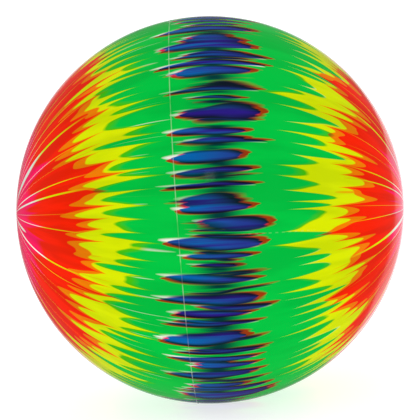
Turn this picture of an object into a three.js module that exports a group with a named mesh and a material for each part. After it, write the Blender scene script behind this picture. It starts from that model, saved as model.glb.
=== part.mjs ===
// Printed vinyl beach ball, 22 cm across: a skin moulded in one piece, a soft valve seat bonded under
// a small dish in it, and a plug that is pushed into the seat once the ball is blown up.
// Millimetres, +Z up. The origin is the ball's centre. X is the mould's axis, with the valve at -X.
import * as THREE from "three";

// Skin. One facet of the ball faces straight down: it is the patch that an inflated ball flattens
// under its own weight, and the face that it rests on.
const BALL_RADIUS = 110;
const SKIN_WALL = 0.4;
const BALL_FACETS = 48;

// Raised line where the two halves of the mould met, on the valve's side of the centre
const PARTING_OFFSET = 14.3;
const PARTING_WIDTH = 0.9;
const PARTING_HEIGHT = 0.3;

// Clearance between pieces that are bonded or rest on each other
const SEAT_GAP = 0.3;

// Valve seat: a collar in the skin's hole, a flange under the skin and a neck into the ball
const BORE_RADIUS = 1.9;
const COLLAR_WALL = 1.5;
const FLANGE_REACH = 3.2;
const FLANGE_THICKNESS = 1.4;
const NECK_WALL = 1.7;
const NECK_END_WALL = 0.9;
const NECK_LENGTH = 8.5;

// Air plug: a flat head that lies in the dish and a ribbed shank in the bore
const SHANK_GAP = 0.25;
const HEAD_OVERLAP = 1.1;
const HEAD_THICKNESS = 1.2;
const HEAD_EDGE_ROUND = 0.35;
const HEAD_SUNK = 0.6;
const TIP_REACH = 1.2;
const TIP_TAPER = 1.6;
const TIP_RADIUS = 0.9;
const RIB_COUNT = 3;
const RIB_PITCH = 2.4;
const RIB_HEIGHT = 0.1;
const RIB_WIDTH = 0.8;
const VALVE_FACETS = 32;

// Dish in the skin round the plug's head, with room for a fingernail
const NAIL_ROOM = 1.3;
const DISH_SLOPE = 1.6;
const DISH_SHOULDER = 1.2;

// Radii about the valve's axis
const collarRadius = BORE_RADIUS + COLLAR_WALL;
const holeRadius = collarRadius + SEAT_GAP;
const headRadius = holeRadius + HEAD_OVERLAP;
const dishFloorRadius = headRadius + NAIL_ROOM;
const dishRimRadius = dishFloorRadius + DISH_SLOPE;
const flangeRadius = holeRadius + FLANGE_REACH;
const shankRadius = BORE_RADIUS - SHANK_GAP;

// Heights along the valve's axis, from the ball's centre
const headTop = BALL_RADIUS - HEAD_SUNK;
const headUnderside = headTop - HEAD_THICKNESS;
const dishFloor = headUnderside - SEAT_GAP;
const flangeTop = dishFloor - SKIN_WALL - SEAT_GAP;
const flangeUnderside = flangeTop - FLANGE_THICKNESS;
const neckEnd = flangeUnderside - NECK_LENGTH;
const plugTip = neckEnd - TIP_REACH;

// A profile point is (distance from the valve's axis, height along it)
const at = (radius, height) => new THREE.Vector2(radius, height);

function onBall(latitude, radius = BALL_RADIUS) {
  return at(radius * Math.cos(latitude), radius * Math.sin(latitude));
}

// Latitudes of the ball's rings, half a step off the middle so that a band of facets lies there
function ringLatitudes(lastLatitude) {
  const step = (2 * Math.PI) / BALL_FACETS;
  const latitudes = [];
  for (let latitude = (step - Math.PI) / 2; latitude < lastLatitude - step / 2; latitude += step) {
    latitudes.push(latitude);
  }
  return latitudes;
}

// The dish from its rounded shoulder on the ball, down its sloping wall and across its floor to the hole
function dishLine() {
  const rim = onBall(Math.acos(dishRimRadius / BALL_RADIUS));
  const floorEdge = at(dishFloorRadius, dishFloor);
  const shoulderStart = onBall(Math.acos((dishRimRadius + DISH_SHOULDER) / BALL_RADIUS));
  const wall = floorEdge.clone().sub(rim);
  const shoulderEnd = rim.clone().addScaledVector(wall, Math.min(0.5, DISH_SHOULDER / wall.length()));
  const shoulder = new THREE.QuadraticBezierCurve(shoulderStart, rim, shoulderEnd);
  return [...shoulder.getPoints(4), floorEdge, at(holeRadius, dishFloor)];
}

// The same line moved inwards by the wall, with its facets parallel to the outer ones.
// Its first point lies on the axis, so its neighbour before it is its next one mirrored there.
function movedInwards(line, wall) {
  return line.map((point, i) => {
    const before = i > 0 ? line[i - 1] : at(-line[1].x, line[1].y);
    const after = line[i + 1] ?? point.clone().multiplyScalar(2).sub(before);
    const into = point.clone().sub(before).normalize();
    const out = after.clone().sub(point).normalize();
    const normal = at(into.y + out.y, -into.x - out.x);
    return point.clone().addScaledVector(normal, -wall / (1 + into.dot(out)));
  });
}

function skinProfile() {
  const dish = dishLine();
  const rings = ringLatitudes(Math.asin(dish[0].y / BALL_RADIUS));
  const pole = at(0, -BALL_RADIUS);
  const inside = movedInwards([pole, ...rings.map((latitude) => onBall(latitude)), ...dish], SKIN_WALL);

  const parting = Math.asin(PARTING_OFFSET / BALL_RADIUS);
  const halfWidth = PARTING_WIDTH / 2 / BALL_RADIUS;
  const partingLine = [
    onBall(parting - halfWidth),
    onBall(parting, BALL_RADIUS + PARTING_HEIGHT),
    onBall(parting + halfWidth),
  ];
  const before = rings.filter((latitude) => latitude < parting - halfWidth);
  const after = rings.filter((latitude) => latitude > parting + halfWidth);
  return [
    pole,
    ...before.map((latitude) => onBall(latitude)),
    ...partingLine,
    ...after.map((latitude) => onBall(latitude)),
    ...dish,
    ...inside.reverse(),
  ];
}

function seatProfile() {
  const boreMouth = at(BORE_RADIUS, dishFloor);
  return [
    boreMouth,
    at(BORE_RADIUS, neckEnd),
    at(BORE_RADIUS + NECK_END_WALL, neckEnd),
    at(BORE_RADIUS + NECK_WALL, flangeUnderside),
    at(flangeRadius, flangeUnderside),
    at(flangeRadius, flangeTop),
    at(collarRadius, flangeTop),
    at(collarRadius, dishFloor),
    boreMouth,
  ];
}

function plugProfile() {
  const ribs = [];
  for (let i = RIB_COUNT; i > 0; i -= 1) {
    const middle = dishFloor - i * RIB_PITCH;
    ribs.push(at(shankRadius, middle - RIB_WIDTH / 2));
    ribs.push(at(shankRadius + RIB_HEIGHT, middle));
    ribs.push(at(shankRadius, middle + RIB_WIDTH / 2));
  }
  const innerEdge = headRadius - HEAD_EDGE_ROUND;
  return [
    at(0, plugTip),
    at(TIP_RADIUS, plugTip),
    at(shankRadius, plugTip + TIP_TAPER),
    ...ribs,
    at(shankRadius, headUnderside),
    at(innerEdge, headUnderside),
    at(headRadius, headUnderside + HEAD_EDGE_ROUND),
    at(headRadius, headTop - HEAD_EDGE_ROUND),
    at(innerEdge, headTop),
    at(0, headTop),
  ];
}

// Turns a profile round the valve's axis, with a facet's middle on each of Y and Z, and lays that axis along -X
function turned(name, profile, facets, material) {
  const geometry = new THREE.LatheGeometry(profile, facets, Math.PI / facets);
  geometry.rotateZ(Math.PI / 2);
  const mesh = new THREE.Mesh(geometry, material);
  mesh.name = name;
  return mesh;
}

const printedVinyl = new THREE.MeshStandardMaterial({ color: 0x12c048, roughness: 0.22, metalness: 0 });
const softVinyl = new THREE.MeshStandardMaterial({ color: 0xe6e4dc, roughness: 0.45, metalness: 0 });
const whitePlastic = new THREE.MeshStandardMaterial({ color: 0xf6f6f2, roughness: 0.38, metalness: 0 });

const ball = new THREE.Group();
ball.add(turned("skin", skinProfile(), BALL_FACETS, printedVinyl));
ball.add(turned("valve_seat", seatProfile(), VALVE_FACETS, softVinyl));
ball.add(turned("air_plug", plugProfile(), VALVE_FACETS, whitePlastic));

export default ball;
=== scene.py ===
# %% [markdown]
# # A printed vinyl beach ball
# The real thing is a ball of thin soft vinyl, moulded in one piece, printed with rainbow streaks and
# blown up through a small valve that a white plug closes. This lesson dresses the three solids of the
# ball with finer meshes and with materials made of nodes. It begins by loading the solids, because
# every piece made here has to lie exactly where they are.

# %% Load the solids
import math

import bmesh
import bpy
from mathutils import Matrix, Vector, noise


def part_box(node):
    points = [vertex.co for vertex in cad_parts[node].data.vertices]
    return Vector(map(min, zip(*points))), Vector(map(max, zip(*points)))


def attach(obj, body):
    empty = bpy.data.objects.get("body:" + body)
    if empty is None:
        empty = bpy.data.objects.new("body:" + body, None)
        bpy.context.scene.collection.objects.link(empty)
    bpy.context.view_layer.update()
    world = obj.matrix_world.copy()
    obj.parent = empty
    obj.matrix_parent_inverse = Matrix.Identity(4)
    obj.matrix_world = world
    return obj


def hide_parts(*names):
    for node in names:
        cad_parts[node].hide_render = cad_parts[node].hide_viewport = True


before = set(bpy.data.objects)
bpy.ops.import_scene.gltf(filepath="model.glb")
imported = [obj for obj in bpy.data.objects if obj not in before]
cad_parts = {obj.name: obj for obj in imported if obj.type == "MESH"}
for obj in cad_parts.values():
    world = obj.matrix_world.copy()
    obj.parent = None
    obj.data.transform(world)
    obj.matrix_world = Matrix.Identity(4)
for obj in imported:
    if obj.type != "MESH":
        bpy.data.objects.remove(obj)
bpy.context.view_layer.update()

# %% [markdown]
# ## Sizes
# The ball's centre is the origin, the valve looks along -X and the floor lies under -Z. The sizes
# that the solids already have are read from their boxes, so that nothing has to be fitted by eye. A
# turned solid with flat facets is a little slimmer across its flats than across its corners, which is
# what the cosine puts right.

# %% Read the sizes
MM = 0.001
VALVE_FACETS = 32
ACROSS_FLATS = math.cos(math.pi / VALVE_FACETS)

skin_low, skin_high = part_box("skin")
seat_low, seat_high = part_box("valve_seat")
plug_low, plug_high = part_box("air_plug")

BALL_RADIUS = skin_high.x
REST_HEIGHT = skin_low.z
DISH_FLOOR = -seat_low.x
NECK_END = -seat_high.x
FLANGE_RADIUS = seat_high.y / ACROSS_FLATS
HEAD_TOP = -plug_low.x
PLUG_TIP = -plug_high.x
HEAD_RADIUS = plug_high.y / ACROSS_FLATS
print(f"ball {2 * BALL_RADIUS / MM:.0f} mm, plug head {2 * HEAD_RADIUS / MM:.1f} mm, "
      f"rests at {REST_HEIGHT / MM:.2f} mm")

# %% [markdown]
# ## Turning a profile
# The skin, the seat and the plug are all round about the valve's axis, so each is a profile turned
# about it, as on a lathe. Blender's Screw modifier could do that, but a few lines of bmesh give the
# same mesh at once and let each ring be changed afterwards. A profile point is (distance from the
# axis, distance along it towards the valve). A point on the axis is one vertex, and the faces round
# it are triangles.

# %% A lathe
ON_AXIS = 1e-9
SHARP_FROM = math.radians(50)


def turn_profile(name, profile, steps, closed=False):
    bm = bmesh.new()
    turns = [2 * math.pi * i / steps for i in range(steps)]
    rings = []
    for out, along in profile:
        angles = turns if out > ON_AXIS else [0.0]
        rings.append([bm.verts.new((-along, out * math.sin(a), out * math.cos(a))) for a in angles])
    bands = list(zip(rings, rings[1:] + rings[:1]))
    for lower, upper in bands if closed else bands[:-1]:
        for i in range(steps):
            j = (i + 1) % steps
            around = ((lower, i), (lower, j), (upper, j), (upper, i))
            corners = [ring[k % len(ring)] for ring, k in around]
            bm.faces.new(dict.fromkeys(corners))
    bmesh.ops.recalc_face_normals(bm, faces=bm.faces)
    mesh = bpy.data.meshes.new(name)
    bm.to_mesh(mesh)
    bm.free()
    mesh.shade_smooth()
    mesh.set_sharp_from_angle(angle=SHARP_FROM)
    piece = bpy.data.objects.new(name, mesh)
    bpy.context.scene.collection.objects.link(piece)
    return piece


def arc(corner_before, corner, corner_after, radius, count=6):
    """Points that round a corner of a profile off, like a fillet of about this radius."""
    corner = Vector(corner)
    start = corner + (Vector(corner_before) - corner).normalized() * radius
    end = corner + (Vector(corner_after) - corner).normalized() * radius
    points = []
    for i in range(count + 1):
        t = i / count
        points.append(tuple(start * (1 - t) ** 2 + corner * 2 * t * (1 - t) + end * t * t))
    return points


# %% [markdown]
# ## The skin
# The real skin is cast inside a hot two-part mould, so it has no seams, only the fine raised line
# where the halves of the mould met. That line can be seen crossing the print, left of the middle. The
# skin is a closed thin shell here too: the outside, the small dish round the valve, and the inside
# back again. A sphere with a bump map would be quicker, but the line, the dish and the patch that
# flattens on the floor are real shapes and should be in the mesh. The rings are closer together at
# the parting line, so that it can be as fine as it is.

# %% Profile of the skin
SKIN_WALL = 0.4 * MM
RING_STEP = math.radians(1.25)
PARTING_OFFSET = 14.3 * MM
PARTING_HALF_WIDTH = 0.5 * MM
PARTING_HEIGHT = 0.3 * MM
NAIL_ROOM = 1.3 * MM
DISH_SLOPE = 1.6 * MM
DISH_SHOULDER = 1.3 * MM
FLOOR_EDGE_ROUND = 0.7 * MM
HOLE_RADIUS = 3.7 * MM
SKIN_STEPS = 256
FINE_RINGS = 4

dish_floor_radius = HEAD_RADIUS + NAIL_ROOM
dish_rim_radius = dish_floor_radius + DISH_SLOPE
parting_latitude = math.asin(PARTING_OFFSET / BALL_RADIUS)


def on_ball(latitude, radius):
    return (radius * math.cos(latitude), radius * math.sin(latitude))


def skin_profile():
    shoulder = math.acos((dish_rim_radius + DISH_SHOULDER) / BALL_RADIUS)
    rim = on_ball(math.acos(dish_rim_radius / BALL_RADIUS), BALL_RADIUS)
    floor_edge = (dish_floor_radius, DISH_FLOOR)
    hole_edge = (HOLE_RADIUS, DISH_FLOOR)
    count = round((shoulder + math.pi / 2) / RING_STEP)
    latitudes = [-math.pi / 2 + (shoulder + math.pi / 2) * i / count for i in range(count + 1)]
    fine = PARTING_HALF_WIDTH / BALL_RADIUS
    reach = FINE_RINGS * 3 // 2
    ridge = [parting_latitude + fine * k / FINE_RINGS for k in range(-reach, reach + 1)]
    latitudes = [a for a in latitudes if abs(a - parting_latitude) > 2 * fine]
    latitudes = sorted(latitudes + ridge)
    outside = [on_ball(a, BALL_RADIUS) for a in latitudes[:-1]]
    outside[0] = (0.0, -BALL_RADIUS)
    outside += arc(on_ball(shoulder, BALL_RADIUS), rim, floor_edge, DISH_SHOULDER)
    outside += arc(rim, floor_edge, hole_edge, FLOOR_EDGE_ROUND)
    outside += [hole_edge]
    inner_radius = BALL_RADIUS - SKIN_WALL
    under_floor = DISH_FLOOR - SKIN_WALL
    inside = [(HOLE_RADIUS, under_floor), (dish_floor_radius + SKIN_WALL / 2, under_floor)]
    inside += [on_ball(a, inner_radius) for a in latitudes[::-1][:-1:2]]
    inside += [(0.0, -inner_radius)]
    return outside, inside


outside, inside = skin_profile()
print(f"skin profile: {len(outside)} rings outside, {len(inside)} inside")

# %% [markdown]
# The lathe gives a perfect shell, and two small truths are added to its vertices. The parting line is
# lifted by an amount that wanders along it, because no mould closes evenly. The lowest part is
# pressed flat to the height where the solid rests: an inflated ball always flattens a little under
# its own weight.

# %% The skin itself
WAVER_SCALE = 60.0
WAVER = 0.35
LIFT_SHARE = 0.8


def parting_lift(vertex):
    across = abs(-vertex.x - PARTING_OFFSET) / PARTING_HALF_WIDTH
    wander = noise.noise(Vector((vertex.y, vertex.z, 0.0)) * WAVER_SCALE)
    return PARTING_HEIGHT * max(0.0, 1 - across**2) * (LIFT_SHARE + WAVER * wander)


def make_skin():
    skin = turn_profile("printed_skin", outside + inside, SKIN_STEPS)
    middle_of_wall = BALL_RADIUS - SKIN_WALL / 2
    for vertex in skin.data.vertices:
        distance = vertex.co.length
        is_outside = distance > middle_of_wall
        direction = vertex.co / distance
        sink = max(0.0, REST_HEIGHT - direction.z * BALL_RADIUS)
        if is_outside:
            vertex.co += direction * parting_lift(vertex.co)
        vertex.co.z += sink
    faces_outside = SKIN_STEPS * (len(outside) - 1)
    for face in skin.data.polygons:
        face.material_index = 0 if face.index < faces_outside else 1
    return skin


printed_skin = make_skin()
print(f"skin: {len(printed_skin.data.polygons)} faces, lowest point "
      f"{min(v.co.z for v in printed_skin.data.vertices) / MM:.2f} mm")

# %% [markdown]
# ## The valve seat
# Under the dish a thick ring of soft vinyl is bonded to the skin. It has a collar that fills the
# skin's hole, a flange that spreads the pull and a neck that squeezes the plug. It is one closed
# profile turned about the axis, with its corners rounded as a mould leaves them.

# %% The seat
BORE_RADIUS = 1.9 * MM
COLLAR_RADIUS = 3.4 * MM
COLLAR_HEIGHT = 0.7 * MM
FLANGE_THICKNESS = 1.4 * MM
FLANGE_TOP = DISH_FLOOR - COLLAR_HEIGHT
FLANGE_UNDERSIDE = FLANGE_TOP - FLANGE_THICKNESS
NECK_RADIUS = 3.6 * MM
NECK_END_RADIUS = 2.8 * MM
SEAT_ROUND = 0.35 * MM
SEAT_ROUND_POINTS = 4
SMALL_STEPS = 96


def rounded(corners, radius):
    """A closed profile with every corner rounded off."""
    points = []
    for i, corner in enumerate(corners):
        following = corners[(i + 1) % len(corners)]
        points += arc(corners[i - 1], corner, following, radius, SEAT_ROUND_POINTS)
    return points


seat_corners = [
    (BORE_RADIUS, DISH_FLOOR),
    (BORE_RADIUS, NECK_END),
    (NECK_END_RADIUS, NECK_END),
    (NECK_RADIUS, FLANGE_UNDERSIDE),
    (FLANGE_RADIUS, FLANGE_UNDERSIDE),
    (FLANGE_RADIUS, FLANGE_TOP),
    (COLLAR_RADIUS, FLANGE_TOP),
    (COLLAR_RADIUS, DISH_FLOOR),
]
valve_insert = turn_profile("valve_insert", rounded(seat_corners, SEAT_ROUND), SMALL_STEPS, closed=True)
print(f"seat: {len(valve_insert.data.polygons)} faces")

# %% [markdown]
# ## The plug
# The plug is an injection moulding: a flat head with a shallow hollow and a raised rim, a shank with
# soft ribs and a blunt tip. A notch in the rim lets a fingernail lift it, and the pip in the middle
# is where the plastic went in. The round part is turned, and the notch is pressed into the head's
# vertices afterwards.

# %% The plug
HEAD_THICKNESS = 1.2 * MM
HEAD_UNDERSIDE = HEAD_TOP - HEAD_THICKNESS
SHANK_RADIUS = 1.65 * MM
RIB_HEIGHT = 0.1 * MM
RIB_PITCH = 2.4 * MM
RIB_WIDTH = 0.9 * MM
RIB_COUNT = 3
RIB_STEPS = 8
NOTCH_HALF_ANGLE = math.radians(24)
NOTCH_DEPTH = 0.9 * MM
HEAD_ROUND = 0.4 * MM
HEAD_ROUND_POINTS = 5
RIM_WIDTH = 0.9 * MM
HOLLOW_DEPTH = 0.25 * MM
HOLLOW_EASE = 0.4 * MM
HOLLOW_ROUND = 0.06 * MM
PIP_RADIUS = 1.0 * MM
PIP_HEIGHT = 0.14 * MM
PIP_SLOPE = 0.15 * MM
PIP_ROUND = 0.02 * MM
TIP_LENGTH = 1.6 * MM
TIP_FLAT = 0.5 * MM
TIP_EDGE = 0.9 * MM
TIP_ROUND = 0.2 * MM


def plug_profile():
    hollow = HEAD_TOP - HOLLOW_DEPTH
    rim_inside = HEAD_RADIUS - RIM_WIDTH
    head_corners = [
        (SHANK_RADIUS, HEAD_UNDERSIDE),
        (HEAD_RADIUS, HEAD_UNDERSIDE),
        (HEAD_RADIUS, HEAD_TOP),
        (rim_inside, HEAD_TOP),
    ]
    points = [(0.0, PLUG_TIP), (TIP_FLAT, PLUG_TIP), (TIP_EDGE, PLUG_TIP + TIP_ROUND)]
    points += [(SHANK_RADIUS, PLUG_TIP + TIP_LENGTH)]
    for i in range(RIB_COUNT, 0, -1):
        middle = DISH_FLOOR - i * RIB_PITCH
        for k in range(-RIB_STEPS // 2, RIB_STEPS // 2 + 1):
            share = k / RIB_STEPS
            bulge = math.cos(math.pi * share) ** 2
            points.append((SHANK_RADIUS + RIB_HEIGHT * bulge, middle + RIB_WIDTH * share))
    points += [(SHANK_RADIUS, HEAD_UNDERSIDE)]
    for before, corner, after in zip(head_corners, head_corners[1:], head_corners[2:]):
        points += arc(before, corner, after, HEAD_ROUND, HEAD_ROUND_POINTS)
    points += [(rim_inside, HEAD_TOP), (rim_inside - HOLLOW_EASE, hollow + HOLLOW_ROUND)]
    points += [(rim_inside - 2 * HOLLOW_EASE, hollow), (PIP_RADIUS, hollow)]
    points += [(PIP_RADIUS - PIP_SLOPE, hollow + PIP_HEIGHT - PIP_ROUND)]
    return points + [(0.0, hollow + PIP_HEIGHT)]


def make_plug():
    plug = turn_profile("push_plug", plug_profile(), SMALL_STEPS)
    for vertex in plug.data.vertices:
        out = math.hypot(vertex.co.y, vertex.co.z)
        turn = abs(math.atan2(vertex.co.y, vertex.co.z))
        if turn < NOTCH_HALF_ANGLE and out > HEAD_RADIUS - NOTCH_DEPTH:
            press = math.cos(turn / NOTCH_HALF_ANGLE * math.pi / 2)
            kept = 1 - press * (out - HEAD_RADIUS + NOTCH_DEPTH) / HEAD_RADIUS
            vertex.co.y *= kept
            vertex.co.z *= kept
    return plug


push_plug = make_plug()
print(f"plug: {len(push_plug.data.polygons)} faces")

# %% [markdown]
# ## Helpers for node materials
# Every finish here is a tree of shader nodes. Adding and linking nodes by hand takes many lines, so a
# small sheet does it: each call lays one node and returns its output, and a call's inputs can be
# numbers or other outputs.

# %% A sheet for nodes
# The Mix node has a set of sockets for each kind of value, and these are the ones for colours
MIX_UNDER, MIX_OVER, MIX_RESULT = 6, 7, 2


class NodeSheet:
    def __init__(self, material_name):
        self.material = bpy.data.materials.new(material_name)
        self.material.use_nodes = True
        self.tree = self.material.node_tree
        self.shader = self.tree.nodes["Principled BSDF"]

    def feed(self, socket, value):
        if isinstance(value, bpy.types.NodeSocket):
            self.tree.links.new(value, socket)
        else:
            socket.default_value = value

    def lay(self, kind, values=(), **settings):
        node = self.tree.nodes.new("ShaderNode" + kind)
        for name, value in settings.items():
            setattr(node, name, value)
        for socket, value in zip(node.inputs, values):
            if value is not None:
                self.feed(socket, value)
        return node

    def calc(self, operation, *values, clamp=False):
        return self.lay("Math", values, operation=operation, use_clamp=clamp).outputs[0]

    def vector(self, operation, *values):
        return self.lay("VectorMath", values, operation=operation).outputs[0]

    def left_over(self, share):
        return self.calc("SUBTRACT", 1.0, share)

    def spread(self, value, low, high, to_low=0.0, to_high=1.0, smooth=True):
        kind = "SMOOTHSTEP" if smooth else "LINEAR"
        node = self.lay("MapRange", (value, low, high, to_low, to_high), interpolation_type=kind)
        return node.outputs[0]

    def luck(self, number):
        """A value and a colour that each number draws by lot, the same ones every time."""
        node = self.lay("TexWhiteNoise", noise_dimensions="1D")
        self.feed(node.inputs["W"], number)
        return node.outputs

    def grain(self, place, scale=1.0, detail=1.0):
        node = self.lay("TexNoise", normalize=False)
        for name, value in (("Vector", place), ("Scale", scale), ("Detail", detail)):
            self.feed(node.inputs[name], value)
        return node.outputs["Fac"]

    def blend(self, share, under, over, way="MIX"):
        node = self.lay("Mix", data_type="RGBA", blend_type=way)
        self.feed(node.inputs[0], share)
        self.feed(node.inputs[MIX_UNDER], under)
        self.feed(node.inputs[MIX_OVER], over)
        return node.outputs[MIX_RESULT]


def ink(red, green, blue):
    """A colour as in paint programs, 0 to 255, turned into the linear light that nodes use."""
    channels = [c / 255 for c in (red, green, blue)]
    return (*[c / 12.92 if c <= 0.04045 else ((c + 0.055) / 1.055) ** 2.4 for c in channels], 1.0)


# %% [markdown]
# ## The print: where a point lies on it
# The streaks run from pole to pole like the lines of longitude of a globe, and the colours lie in
# bands on both sides of its middle. So the print needs two numbers at each point: its latitude, and
# its place round the ball. Noise takes that place as a point on a circle and the streaks are counted
# in whole numbers round it, so that the streaks have no join. The print's axis leans a few degrees
# from the mould's axis, as if the ball sat not quite true on the printer.

# %% Latitude and place round the ball
PRINT_YAW = math.radians(4.34)
PRINT_PITCH = math.radians(3.91)

vinyl = NodeSheet("rainbow_print")
at_point = vinyl.lay("TexCoord").outputs["Object"]
upright = vinyl.lay("VectorRotate", rotation_type="EULER_XYZ", invert=True)
vinyl.feed(upright.inputs["Vector"], at_point)
upright.inputs["Rotation"].default_value = (0.0, PRINT_PITCH, PRINT_YAW)
toward = vinyl.vector("NORMALIZE", upright.outputs[0])
latitude = vinyl.calc("DEGREES", vinyl.calc("ARCSINE", vinyl.lay("SeparateXYZ", (toward,)).outputs[0]))

TWIST_HALF = 7.0
STREAK_DRIFT = 0.012
CROWDING = 0.8
STREAKS_PER_CROWD = 12
STREAKS_PER_CLEFT = 9
CLEFT_SEED = 80
SIDE_SEED = 0.37
TONGUE_BLUNTNESS = 0.6
SPINDLE_BLUNTNESS = 0.45
SPINDLE_DRIFT = 0.005
FIBRES = 50.0
FIBRE_DRIFT = 0.01
FRAY = 2.2


class Plate:
    """One printing plate: the artwork laid on the ball with its own small errors of place, in degrees.
    slip moves it along the axis, and lean turns it more the further it is from the middle."""

    def __init__(self, slip=0.0, lean=0.0):
        angle = vinyl.calc("RADIANS", vinyl.calc("MULTIPLY", latitude, lean))
        moved = vinyl.lay("VectorRotate", rotation_type="X_AXIS")
        vinyl.feed(moved.inputs["Vector"], toward)
        vinyl.feed(moved.inputs["Angle"], angle)
        _, y, z = vinyl.lay("SeparateXYZ", (moved.outputs[0],)).outputs
        self.span = vinyl.calc("SQRT", vinyl.calc("MULTIPLY_ADD", y, y, vinyl.calc("MULTIPLY", z, z)))
        self.latitude = vinyl.calc("SUBTRACT", latitude, slip)
        self.height = vinyl.calc("ABSOLUTE", self.latitude)
        self.round_y = vinyl.calc("DIVIDE", y, self.span)
        self.round_z = vinyl.calc("DIVIDE", z, self.span)
        bearing = vinyl.calc("ARCTAN2", z, vinyl.calc("MULTIPLY", y, -1.0))
        self.around = vinyl.calc("DIVIDE", bearing, 2 * math.pi)

    def place(self, changes, drift, seed, twist=0.0):
        """A point for noise: changes sets how fast it varies round the ball, drift how fast along the
        axis, and twist how much the two sides of the middle differ."""
        start = vinyl.spread(self.latitude, -TWIST_HALF, TWIST_HALF, seed, seed + twist)
        x = vinyl.calc("MULTIPLY_ADD", self.latitude, drift, start)
        y = vinyl.calc("MULTIPLY", self.round_y, changes)
        z = vinyl.calc("MULTIPLY", self.round_z, changes)
        return vinyl.lay("CombineXYZ", (x, y, z)).outputs[0]

    def rank(self, count, seed, drift=STREAK_DRIFT, twist=0.0):
        """Counts so many streaks round the ball: the whole part is a streak's number and the rest is the
        way across it. Noise crowds some streaks together and spreads others."""
        crowding = vinyl.grain(self.place(count / STREAKS_PER_CROWD, drift, seed, twist))
        moved = vinyl.calc("MULTIPLY", crowding, CROWDING)
        return vinyl.calc("MULTIPLY_ADD", self.around, count, moved)

    def tongues(self, count, root, length, seed, short=0.35, drift=STREAK_DRIFT, uneven=0.0):
        """The latitude, in degrees, that a colour reaches: blunt tongues with sharp clefts between them.
        Each tongue has its own length on each side of the middle, and noise makes the clefts uneven."""
        rank = self.rank(count, seed, drift=drift)
        number = vinyl.calc("FLOORED_MODULO", vinyl.calc("FLOOR", rank), count)
        on_the_right = vinyl.calc("GREATER_THAN", self.latitude, 0.0)
        side = vinyl.calc("MULTIPLY_ADD", on_the_right, SIDE_SEED, seed)
        luck = vinyl.luck(vinyl.calc("ADD", number, side))
        size = vinyl.spread(luck["Value"], 0.0, 1.0, short * length, length, smooth=False)
        swell = vinyl.calc("ABSOLUTE", vinyl.calc("SINE", vinyl.calc("MULTIPLY", rank, math.pi)))
        wave = vinyl.calc("POWER", swell, TONGUE_BLUNTNESS)
        clefts = vinyl.grain(self.place(count / STREAKS_PER_CLEFT, drift, seed + CLEFT_SEED))
        floor = vinyl.calc("MULTIPLY_ADD", clefts, uneven, root)
        return vinyl.calc("MULTIPLY_ADD", wave, size, floor)

    def spindles(self, count, seed, reach, thick, middle=0.0, longer=0.0, thicker=0.0, twist=0.0):
        """How deep a point lies in a row of spindles, in shares of the room that each has. Every spindle
        has its own reach to both sides and its own thickness, and it thins out towards both ends. The
        row lies at the ball's middle, or at this latitude on both sides of it."""
        rank = self.rank(count, seed, drift=SPINDLE_DRIFT, twist=twist)
        number = vinyl.calc("FLOORED_MODULO", vinyl.calc("FLOOR", rank), count)
        luck = vinyl.luck(vinyl.calc("ADD", number, seed))
        left, right, size = vinyl.lay("SeparateColor", (luck["Color"],)).outputs
        nearest, furthest = (end + longer for end in reach)
        left_end = vinyl.spread(left, 0.0, 1.0, -nearest, -furthest, smooth=False)
        right_end = vinyl.spread(right, 0.0, 1.0, nearest, furthest, smooth=False)
        widest = vinyl.spread(size, 0.0, 1.0, thick[0] + thicker, thick[1] + thicker, smooth=False)
        way = vinyl.calc("SUBTRACT", self.height, middle) if middle else self.latitude
        fibres = vinyl.grain(self.place(FIBRES, FIBRE_DRIFT, seed), detail=2.0)
        frayed = vinyl.calc("MULTIPLY_ADD", fibres, FRAY, way)
        along = vinyl.spread(frayed, left_end, right_end, -1.0, 1.0, smooth=False)
        squared = vinyl.calc("MULTIPLY", along, along)
        taper = vinyl.calc("POWER", vinyl.left_over(squared), SPINDLE_BLUNTNESS)
        across = vinyl.calc("ABSOLUTE", vinyl.calc("SUBTRACT", vinyl.calc("FRACT", rank), 0.5))
        return vinyl.calc("MULTIPLY_ADD", widest, taper, vinyl.calc("MULTIPLY", across, -1.0))

    def inside(self, reach, soft):
        """1 where the latitude is below the reach and 0 beyond it, over a soft edge in degrees."""
        gap = vinyl.calc("SUBTRACT", reach, self.height)
        return vinyl.calc("MULTIPLY_ADD", gap, 1 / soft, 0.5, clamp=True)


print(f"print axis leans {math.degrees(PRINT_YAW):.1f} and {math.degrees(PRINT_PITCH):.1f} degrees")

# %% [markdown]
# ## The print: four inks
# Streaks like these come from one picture, printed in a few strong inks on white vinyl: yellow,
# green, pink and blue. Red is pink over yellow, and purple is pink over blue. No plate lands quite
# where the last one did, and that is what gives the real ball its white slivers, its red edges and
# its dark overlaps. So each ink here is a plate of its own, and the slips between them make those
# edges by themselves. The blue comes first: three rows of spindles that lie across the middle and
# thin out to both sides, and a soft streaky core that fills the gaps between them. The green leaves a
# place free for each spindle.

# %% Blue, and the place left free for it in the green
SPINDLE_ROWS = (
    {"count": 78, "seed": 3.0, "reach": (5.0, 17.0), "thick": (0.24, 0.54), "twist": 0.2},
    {"count": 66, "seed": 41.0, "reach": (4.0, 16.0), "thick": (0.12, 0.4), "twist": 0.2},
    {"count": 96, "seed": 87.0, "reach": (3.0, 12.0), "thick": (-0.1, 0.24), "twist": 0.2},
)
SPINDLE_SOFT = 0.1
CORE_REACH = 10.0
CORE_FULL = 0.5
CORE_STREAK_RANGE = (-0.5, 0.15)


def spindle_ink(plate, soft, rows=SPINDLE_ROWS, **growth):
    share = 0.0
    for row in rows:
        row_share = vinyl.calc("DIVIDE", plate.spindles(**row, **growth), soft, clamp=True)
        share = vinyl.calc("MAXIMUM", share, row_share)
    return share


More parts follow.
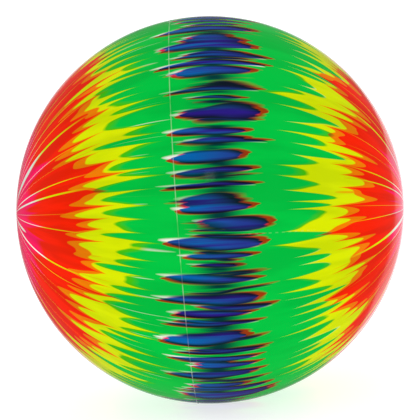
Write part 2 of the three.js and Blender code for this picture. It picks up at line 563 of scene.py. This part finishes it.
blue_plate = Plate(slip=-0.2, lean=0.02)
blue_spindles = spindle_ink(blue_plate, SPINDLE_SOFT)
core_grain = vinyl.grain(blue_plate.place(changes=26.0, drift=0.02, seed=71.0), detail=2.0)
core_streaks = vinyl.spread(core_grain, *CORE_STREAK_RANGE)
core_band = vinyl.spread(blue_plate.height, CORE_REACH, CORE_FULL)
blue_core = vinyl.calc("MULTIPLY", core_band, core_streaks)
blue_share = vinyl.calc("MAXIMUM", blue_spindles, blue_core)

cut_plate = Plate(slip=-1.6, lean=-0.02)
left_free = spindle_ink(cut_plate, soft=0.2, longer=1.4, thicker=-0.125)
print("blue laid")

# %% [markdown]
# Green and yellow meet along a row of tongues, further out. The yellow runs a little way over the
# green noses and gives them a soft olive edge, wider on the left than on the right, because the
# yellow plate lies a little to one side. On the left the green also has thin pale slivers, gaps in
# its artwork, which are small spindles again.

# %% Green and yellow
GREEN = {"count": 94, "root": 20.0, "length": 19.0, "short": 0.5, "seed": 11.0, "uneven": 8.0}
YELLOW_EDGE = {**GREEN, "root": 18.2, "length": 18.0, "uneven": 10.0}
PINK_ENDS = {"count": 40, "root": 62.0, "length": 13.0, "seed": 31.0, "uneven": 8.0}
SLIVERS = (
    {"count": 110, "seed": 63.0, "middle": 25.0, "reach": (4.0, 13.0), "thick": (-0.06, 0.08)},
)
SLIVER_STRENGTH = 0.6

green_plate = Plate()
green_edge = green_plate.inside(green_plate.tongues(**GREEN), soft=1.4)
on_the_left = vinyl.calc("LESS_THAN", latitude, 0.0)
slivers = vinyl.calc("MULTIPLY", spindle_ink(green_plate, soft=0.06, rows=SLIVERS), on_the_left)
not_green = vinyl.calc("MAXIMUM", left_free, vinyl.calc("MULTIPLY", slivers, SLIVER_STRENGTH))
green_share = vinyl.calc("MULTIPLY", green_edge, vinyl.left_over(not_green))

yellow_plate = Plate(slip=0.8)
yellow_from = yellow_plate.inside(yellow_plate.tongues(**YELLOW_EDGE), soft=3.0)
yellow_to = yellow_plate.inside(yellow_plate.tongues(**PINK_ENDS), soft=4.0)
yellow_share = vinyl.calc("MULTIPLY", vinyl.left_over(yellow_from), yellow_to)
print("green and yellow laid")

# %% [markdown]
# Pink is printed twice over: as a slightly longer copy of the blue spindles, and from the ends of the
# ball inwards, where it turns the yellow red. Between red and yellow lies a row of orange noses,
# printed at less than full strength, and from there fine hairlines run on into the yellow.

# %% Pink
ORANGE_FROM = {"count": 76, "root": 33.0, "length": 15.0, "seed": 23.0, "uneven": 10.0}
RED_FROM = {**ORANGE_FROM, "root": 35.0, "length": 20.0}
ORANGE_STRENGTH = 0.76
HAIRLINES = (
    {"count": 120, "seed": 77.0, "middle": 42.0, "reach": (2.0, 9.0), "thick": (-0.04, 0.1)},
)
HAIRLINE_STRENGTH = 0.6
NOSE_SOFT = 0.6
LIGHT_BLUE_SIDE = -10.0
VIOLET_SIDE = 8.0
LEAST_VIOLET = (0.05, 0.75)
VIOLET_STREAK_RANGE = (-0.3, 0.45)

pink_plate = Plate(slip=0.3, lean=0.05)
streaks = vinyl.grain(pink_plate.place(changes=34.0, drift=0.02, seed=91.0), detail=4.0)
pink_in_blue = spindle_ink(pink_plate, SPINDLE_SOFT, longer=2.0, thicker=-0.02)
least_violet = vinyl.spread(pink_plate.latitude, LIGHT_BLUE_SIDE, VIOLET_SIDE, *LEAST_VIOLET)
violet_streaks = vinyl.spread(streaks, *VIOLET_STREAK_RANGE, least_violet, 1.0)
violet_share = vinyl.calc("MULTIPLY", pink_in_blue, violet_streaks)
orange_part = vinyl.left_over(pink_plate.inside(pink_plate.tongues(**ORANGE_FROM), NOSE_SOFT))
red_part = vinyl.left_over(pink_plate.inside(pink_plate.tongues(**RED_FROM), NOSE_SOFT))
pink_outside = vinyl.calc("MAXIMUM", vinyl.calc("MULTIPLY", orange_part, ORANGE_STRENGTH), red_part)
hairlines = spindle_ink(pink_plate, soft=0.08, rows=HAIRLINES)
hairlines = vinyl.calc("MULTIPLY", hairlines, HAIRLINE_STRENGTH)
hairlines = vinyl.calc("MULTIPLY", hairlines, yellow_share)
pink_outside = vinyl.calc("MAXIMUM", pink_outside, hairlines)
print("pink laid")

# %% [markdown]
# Fine pale lines run to the poles through the red, where the artwork has gaps between its streaks.
# They are counted round the ball as the streaks are, and each has a width of its own. A line that
# keeps its width takes up a larger share of the way round as it nears the pole, so its width is
# divided by the distance from the axis. Close to the pole that stops, and the lines run to points.

# %% Pale lines to the poles
LINES = {"count": 44, "seed": 57.0, "drift": 0.004}
LINE_WIDTH = 0.018
WIDTH_RANGE = (0.2 * LINE_WIDTH, 2.5 * LINE_WIDTH)
MOSTLY_THIN = 3.0
LINE_EDGE = 0.4
LINES_NARROW_FROM = 0.25
LINES_FADE_IN = (36.0, 56.0)
WHITE_FADE_IN = (58.0, 72.0)

line_rank = pink_plate.rank(**LINES)
line_number = vinyl.calc("ROUND", line_rank)
line_luck = vinyl.luck(vinyl.calc("FLOORED_MODULO", line_number, LINES["count"]))
line_size = vinyl.calc("POWER", line_luck["Value"], MOSTLY_THIN)
line_width = vinyl.spread(line_size, 0.0, 1.0, *WIDTH_RANGE, smooth=False)
line_span = vinyl.calc("MAXIMUM", pink_plate.span, LINES_NARROW_FROM)
line_half = vinyl.calc("DIVIDE", line_width, line_span)
line_away = vinyl.calc("ABSOLUTE", vinyl.calc("SUBTRACT", line_rank, line_number))
line_gap = vinyl.calc("DIVIDE", vinyl.calc("SUBTRACT", line_half, line_away), LINE_WIDTH)
pale_line = vinyl.calc("ADD", line_gap, LINE_EDGE, clamp=True)
pale_line = vinyl.calc("MULTIPLY", pale_line, vinyl.spread(pink_plate.height, *LINES_FADE_IN))
pink_outside = vinyl.calc("MULTIPLY", pink_outside, vinyl.left_over(pale_line))
pink_share = vinyl.calc("MAXIMUM", pink_outside, pink_in_blue)

white_line = vinyl.calc("MULTIPLY", pale_line, vinyl.spread(pink_plate.height, *WHITE_FADE_IN))
yellow_share = vinyl.calc("MULTIPLY", yellow_share, vinyl.left_over(white_line))
print("pale lines laid")

# %% [markdown]
# ## The print: mixing the inks
# The inks are laid one over the other from the white vinyl up. Each step mixes towards the colour
# that the eye sees where that ink lies on what is already there.

# %% Mix the inks
BARE_VINYL = ink(238, 236, 224)
YELLOW_INK = ink(212, 226, 0)
GREEN_INK = ink(0, 190, 64)
OLIVE_MIX = ink(66, 186, 14)
PINK_INK = ink(250, 14, 92)
RED_INK = ink(241, 32, 0)
BROWN_MIX = ink(156, 56, 10)
BLUE_INK = ink(0, 100, 172)
VIOLET_MIX = ink(42, 26, 128)
TEAL_MIX = ink(0, 58, 56)
DARK_MIX = ink(14, 18, 34)

colour = vinyl.blend(yellow_share, BARE_VINYL, YELLOW_INK)
green_on_any = vinyl.blend(yellow_share, GREEN_INK, OLIVE_MIX)
colour = vinyl.blend(green_share, colour, green_on_any)
pink_on_white = vinyl.blend(yellow_share, PINK_INK, RED_INK)
pink_on_any = vinyl.blend(green_share, pink_on_white, BROWN_MIX)
colour = vinyl.blend(pink_share, colour, pink_on_any)
blue_on_white = vinyl.blend(violet_share, BLUE_INK, VIOLET_MIX)
blue_on_green = vinyl.blend(violet_share, TEAL_MIX, DARK_MIX)
blue_on_any = vinyl.blend(green_share, blue_on_white, blue_on_green)
colour = vinyl.blend(blue_share, colour, blue_on_any)
print("print mixed")

# %% [markdown]
# ## The print: where the ink is missing, a painted highlight and painted shade
# Ink doesn't reach everywhere. The raised parting line rubs and keeps less of it, so it shows as a
# pale thread across the print, which is partly that worn ink and partly a painted highlight along the
# ridge. The dish round the valve and a small spot at each end stay bare, and where the artwork's ends
# meet, a faint row of dots is left. A slow noise makes the ink a little thicker here and thinner there,
# and the groove at the foot of the dish's wall is darkened with painted shade and dust.

# %% Bare places
# How pale the parting thread is painted: partly rubbed ink, partly a painted highlight on the ridge
PARTING_PALE_AND_HIGHLIGHT = 0.26
THREAD_HALF_WIDTH = 0.4 * MM
THREAD_CORE = 0.1 * MM
RUB_RANGE = (-0.5, 0.3)
LEAST_RUBBED = 0.2
SPOT_LATITUDE = 88.7
SPOT_EDGE = 0.4
JOIN_TURN = 2.7 / 360
JOIN_DOTS = 0.5
DOT_EDGE = (-0.2, 0.6)
JOIN_STRENGTH = 0.09
JOIN_EDGE = (0.0007, 0.0001)
JOIN_FADE_IN = (5.0, 9.0)
JOIN_FADE_OUT = (30.0, 24.0)
BARE_VINYL_FROM = 8.6 * MM
BARE_EDGE = 0.3 * MM
RAGGED = 0.5 * MM
THICK_INK = (0.5, 0.62, 0.62, 1.0)
THICK_INK_MOST = 0.36
THICK_INK_RANGE = (-0.4, 0.5)
# Colour of the painted shade and dust in the groove at the foot of the dish's wall
DUST_AND_SHADE = ink(128, 118, 98)
DUST_AND_SHADE_STRENGTH = 0.4
DUST_AND_SHADE_EDGE = (1.4 * MM, 0.1 * MM)

x_here, y_here, z_here = vinyl.lay("SeparateXYZ", (at_point,)).outputs
from_parting = vinyl.calc("ABSOLUTE", vinyl.calc("ADD", x_here, PARTING_OFFSET))
rub_grain = vinyl.grain(at_point, scale=70.0, detail=3.0)
rubbed = vinyl.spread(rub_grain, *RUB_RANGE, LEAST_RUBBED, 1.0)
# The pale thread on the parting ridge: rubbed ink and a painted highlight
on_parting_rub_and_highlight = vinyl.spread(from_parting, THREAD_HALF_WIDTH, THREAD_CORE, 0.0, PARTING_PALE_AND_HIGHLIGHT)
pale_thread_and_highlight = vinyl.calc("MULTIPLY", on_parting_rub_and_highlight, rubbed)

from_join = vinyl.calc("ABSOLUTE", vinyl.calc("SUBTRACT", green_plate.around, JOIN_TURN))
join_way = vinyl.calc("MULTIPLY", from_join, green_plate.span)
on_join = vinyl.spread(join_way, *JOIN_EDGE, 0.0, JOIN_STRENGTH)
dot_wave = vinyl.calc("SINE", vinyl.calc("MULTIPLY", latitude, 2 * math.pi * JOIN_DOTS))
dots = vinyl.spread(dot_wave, *DOT_EDGE)
join_start = vinyl.spread(latitude, *JOIN_FADE_IN)
join_end = vinyl.spread(latitude, *JOIN_FADE_OUT)
join_part = vinyl.calc("MULTIPLY", join_start, join_end)
join_dots = vinyl.calc("MULTIPLY", vinyl.calc("MULTIPLY", on_join, dots), join_part)

z_squared = vinyl.calc("MULTIPLY", z_here, z_here)
from_axis = vinyl.calc("SQRT", vinyl.calc("MULTIPLY_ADD", y_here, y_here, z_squared))
rag_grain = vinyl.grain(at_point, scale=300.0, detail=2.0)
ragged = vinyl.calc("MULTIPLY_ADD", rag_grain, RAGGED, from_axis)
by_valve = vinyl.spread(ragged, BARE_VINYL_FROM + BARE_EDGE, BARE_VINYL_FROM - BARE_EDGE)
in_dish = vinyl.calc("MULTIPLY", by_valve, vinyl.calc("LESS_THAN", x_here, 0.0))
height = vinyl.calc("ABSOLUTE", latitude)
end_spots = vinyl.spread(height, SPOT_LATITUDE - SPOT_EDGE, SPOT_LATITUDE + SPOT_EDGE)
unprinted = vinyl.calc("MAXIMUM", in_dish, end_spots)

missing = vinyl.calc("MAXIMUM", vinyl.calc("MAXIMUM", pale_thread_and_highlight, join_dots), unprinted)
ink_grain = vinyl.grain(green_plate.place(changes=9.0, drift=0.03, seed=17.0), detail=3.0)
thick_ink = vinyl.spread(ink_grain, *THICK_INK_RANGE, 0.0, THICK_INK_MOST)
colour = vinyl.blend(thick_ink, colour, THICK_INK, way="MULTIPLY")
colour = vinyl.blend(missing, colour, BARE_VINYL)
# Painted shade in the groove at the foot of the dish's wall, together with dust
from_groove = vinyl.calc("ABSOLUTE", vinyl.calc("SUBTRACT", from_axis, dish_floor_radius))
groove_dust_and_shade = vinyl.spread(from_groove, *DUST_AND_SHADE_EDGE, 0.0, DUST_AND_SHADE_STRENGTH)
dust_and_shade = vinyl.calc("MULTIPLY", groove_dust_and_shade, in_dish)
colour = vinyl.blend(dust_and_shade, colour, DUST_AND_SHADE)
vinyl.feed(vinyl.shader.inputs["Base Color"], colour)
print("bare places laid")

# %% [markdown]
# Blown vinyl is glossy, but it is not glass: its gloss breathes a little, and close up it has the
# faint ripple that painters call orange peel. Both come from noise, one into the roughness and one
# into a very shallow bump. The skin mirrors less than hard plastic does, so its inks stay deep and
# only the rim, seen at a slant, turns pale.

# %% Gloss of the skin
MIRROR_LEVEL = 0.06
GLOSS_RANGE = (-0.6, 0.6)
ROUGHNESS_RANGE = (0.08, 0.15)
PEEL_STRENGTH = 0.12
PEEL_DEPTH = 0.05 * MM

gloss = vinyl.grain(at_point, scale=38.0, detail=2.0)
skin_roughness = vinyl.spread(gloss, *GLOSS_RANGE, *ROUGHNESS_RANGE)
vinyl.feed(vinyl.shader.inputs["Roughness"], skin_roughness)
peel = vinyl.lay("Bump")
peel.inputs["Strength"].default_value = PEEL_STRENGTH
peel.inputs["Distance"].default_value = PEEL_DEPTH
vinyl.feed(peel.inputs["Height"], vinyl.grain(at_point, scale=420.0))
vinyl.feed(vinyl.shader.inputs["Normal"], peel.outputs["Normal"])
vinyl.shader.inputs["Specular IOR Level"].default_value = MIRROR_LEVEL
printed_skin.data.materials.append(vinyl.material)
print("skin finished")

# %% [markdown]
# ## Bare vinyl and white plastic
# The inside of the skin and the seat are the same soft vinyl without ink: milky, satin and a little
# cloudy. The plug is a harder, whiter plastic with the fine grain of its mould. One helper makes
# both, because they differ only in their colours, their clouds, their grain and their sheen.

# %% Plain plastics
CLOUD_RANGE = (-0.5, 0.5)
SATIN_SWING = 0.06
MOULD_STRENGTH = 0.2
MOULD_DEPTH = 0.03 * MM


def cloudy_plastic(name, pale, deep, cloud, grain, roughness):
    sheet = NodeSheet(name)
    here = sheet.lay("TexCoord").outputs["Object"]
    clouds = sheet.spread(sheet.grain(here, cloud, detail=3.0), *CLOUD_RANGE)
    sheet.feed(sheet.shader.inputs["Base Color"], sheet.blend(clouds, pale, deep))
    satin = sheet.spread(clouds, 0.0, 1.0, roughness - SATIN_SWING, roughness + SATIN_SWING)
    sheet.feed(sheet.shader.inputs["Roughness"], satin)
    texture = sheet.lay("Bump")
    texture.inputs["Strength"].default_value = MOULD_STRENGTH
    texture.inputs["Distance"].default_value = MOULD_DEPTH
    sheet.feed(texture.inputs["Height"], sheet.grain(here, grain, detail=2.0))
    sheet.feed(sheet.shader.inputs["Normal"], texture.outputs["Normal"])
    return sheet.material


CLOUDY_VINYL = ink(222, 218, 202)
PLUG_PALE = ink(238, 238, 234)
PLUG_DEEP = ink(224, 224, 219)
VINYL_GRAIN = {"cloud": 160.0, "grain": 900.0, "roughness": 0.44}
PLUG_GRAIN = {"cloud": 300.0, "grain": 2500.0, "roughness": 0.36}
bare_vinyl = cloudy_plastic("bare_vinyl", BARE_VINYL, CLOUDY_VINYL, **VINYL_GRAIN)
white_plastic = cloudy_plastic("plug_plastic", PLUG_PALE, PLUG_DEEP, **PLUG_GRAIN)
printed_skin.data.materials.append(bare_vinyl)
valve_insert.data.materials.append(bare_vinyl)
push_plug.data.materials.append(white_plastic)
print("plastics:", bare_vinyl.name, white_plastic.name)

# %% [markdown]
# ## Camera
# The view is nearly square on to the mould's axis and a little from above, so the parting line shows
# almost straight. A long lens three metres away keeps the ball's outline round. The camera is turned
# about its own axis so that the mould's axis shows at the slant that it has in the picture.

# %% Camera
PICTURE_SIDE = 420
OUTLINE_RADIUS = 193.9
OUTLINE_MIDDLE = (210.0, 209.8)
CAMERA_DISTANCE = 3.0
CAMERA_ELEVATION = math.radians(10)
AXIS_TOWARD_CAMERA = math.radians(2.1)
AXIS_SLANT = math.radians(4.1)
SENSOR = 36.0


def make_camera():
    axis = Vector((1, 0, 0))
    side, rise = math.sin(AXIS_TOWARD_CAMERA), math.sin(CAMERA_ELEVATION)
    back = Vector((side, -math.sqrt(1 - side**2 - rise**2), rise))
    level = (axis - axis.dot(back) * back).normalized()
    square = back.cross(level)
    right = math.cos(AXIS_SLANT) * level - math.sin(AXIS_SLANT) * square
    up = back.cross(right)
    data = bpy.data.cameras.new("camera")
    focal_pixels = OUTLINE_RADIUS / math.tan(math.asin(BALL_RADIUS / CAMERA_DISTANCE))
    data.sensor_width = SENSOR
    data.lens = focal_pixels / PICTURE_SIDE * SENSOR
    data.shift_x = (PICTURE_SIDE / 2 - OUTLINE_MIDDLE[0]) / PICTURE_SIDE
    data.shift_y = (OUTLINE_MIDDLE[1] - PICTURE_SIDE / 2) / PICTURE_SIDE
    camera = bpy.data.objects.new("camera", data)
    turned = Matrix((right, up, back)).transposed().to_4x4()
    camera.matrix_world = Matrix.Translation(back * CAMERA_DISTANCE) @ turned
    bpy.context.scene.collection.objects.link(camera)
    bpy.context.scene.camera = camera
    return camera


camera = make_camera()
print(f"camera lens {camera.data.lens:.0f} mm")

# %% [markdown]
# ## Floor and light
# Such a ball is photographed on a light table, a white sheet lit from below as well as from above, so
# that the ground all but vanishes and only a breath of shadow stays under the ball. The rest of the
# light is an even white room. Reflections show that room at about a fifth of its strength, as a
# polarising filter would, because the whole of it would lay a grey veil over the inks.

# %% Floor and room
FLOOR_SIDE = 14.0
WHITE = (1.0, 1.0, 1.0, 1.0)
SHEET_GREY = (0.5, 0.5, 0.5, 1.0)
SHEET_ROUGHNESS = 0.9
SHEET_MIRROR_LEVEL = 0.1
TABLE_GLOW = 0.72
ROOM_IN_GLOSS = 0.22


def make_light_table():
    mesh = bpy.data.meshes.new("light_table")
    half = FLOOR_SIDE / 2
    corners = [(-half, -half), (half, -half), (half, half), (-half, half)]
    mesh.from_pydata([(x, y, REST_HEIGHT) for x, y in corners], [], [(0, 1, 2, 3)])
    table = bpy.data.objects.new("light_table", mesh)
    bpy.context.scene.collection.objects.link(table)
    sheet = NodeSheet("white_sheet")
    sheet.shader.inputs["Base Color"].default_value = SHEET_GREY
    sheet.shader.inputs["Roughness"].default_value = SHEET_ROUGHNESS
    sheet.shader.inputs["Specular IOR Level"].default_value = SHEET_MIRROR_LEVEL
    sheet.shader.inputs["Emission Color"].default_value = WHITE
    sheet.shader.inputs["Emission Strength"].default_value = TABLE_GLOW
    mesh.materials.append(sheet.material)
    table.visible_glossy = False
    return table


def make_room():
    room = bpy.data.worlds.new("white_room")
    bpy.context.scene.world = room
    room.use_nodes = True
    background = room.node_tree.nodes["Background"]
    background.inputs["Color"].default_value = WHITE
    tree = room.node_tree
    ray = tree.nodes.new("ShaderNodeLightPath")
    strength = tree.nodes.new("ShaderNodeMapRange")
    strength.inputs["To Min"].default_value = 1.0
    strength.inputs["To Max"].default_value = ROOM_IN_GLOSS
    tree.links.new(ray.outputs["Is Glossy Ray"], strength.inputs["Value"])
    tree.links.new(strength.outputs["Result"], background.inputs["Strength"])


light_table = make_light_table()
make_room()
bpy.context.scene.view_settings.view_transform = "Standard"
print("floor and room set")

# %% [markdown]
# Three lamps show the gloss. A small softbox above the lens leaves a faint smudge on the dark blue. A
# white screen behind the ball, to the right, is mirrored only where the skin turns away from the
# lens, so it makes the rim pale on that side. A white backdrop straight behind the ball is mirrored
# by the outermost edge alone, and draws a thin pale outline all round. All three are kept out of the
# camera's own sight.

# %% Lamps
def make_lamp(name, place, side, radiance):
    data = bpy.data.lights.new(name, "AREA")
    data.shape = "SQUARE"
    data.size = side
    data.energy = radiance * math.pi * side**2
    lamp = bpy.data.objects.new(name, data)
    facing = Vector(place).to_track_quat("Z", "Y").to_matrix().to_4x4()
    lamp.matrix_world = Matrix.Translation(place) @ facing
    lamp.visible_camera = False
    bpy.context.scene.collection.objects.link(lamp)
    return lamp


lens_back = camera.matrix_world.to_quaternion() @ Vector((0, 0, 1))
lens_up = camera.matrix_world.to_quaternion() @ Vector((0, 1, 0))
lens_right = lens_up.cross(lens_back)

SMUDGE_ANGLE = math.radians(19)
SOFTBOX_DISTANCE = 1.3
SOFTBOX_SIDE = 0.12
SOFTBOX_RADIANCE = 6.0
softbox_way = math.cos(SMUDGE_ANGLE) * lens_back + math.sin(SMUDGE_ANGLE) * lens_up
softbox = make_lamp("small_softbox", SOFTBOX_DISTANCE * softbox_way, SOFTBOX_SIDE, SOFTBOX_RADIANCE)

SCREEN_ANGLE = math.radians(26)
SCREEN_RISE = math.radians(-6)
SCREEN_DISTANCE = 1.6
SCREEN_SIDE = 0.8
SCREEN_RADIANCE = 0.85
screen_aside = math.cos(SCREEN_RISE) * lens_right + math.sin(SCREEN_RISE) * lens_up
screen_way = math.sin(SCREEN_ANGLE) * screen_aside - math.cos(SCREEN_ANGLE) * lens_back
screen = make_lamp("white_screen", SCREEN_DISTANCE * screen_way, SCREEN_SIDE, SCREEN_RADIANCE)

BACKDROP_DISTANCE = 1.6
BACKDROP_SIDE = 0.9
BACKDROP_RADIANCE = 0.5
backdrop = make_lamp("white_backdrop", -BACKDROP_DISTANCE * lens_back, BACKDROP_SIDE, BACKDROP_RADIANCE)
print("lamps:", softbox.name, screen.name, backdrop.name)

# %% [markdown]
# ## Dressing the solids
# Each piece rides on the body that carries it and hides the solid that it stands for.

# %% Dress and finish
for piece, body, node, slot in (
    (printed_skin, "ball", "skin", "printed_vinyl"),
    (valve_insert, "ball", "valve_seat", "soft_vinyl"),
    (push_plug, "plug", "air_plug", "white_plastic"),
):
    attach(piece, body)
    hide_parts(node)
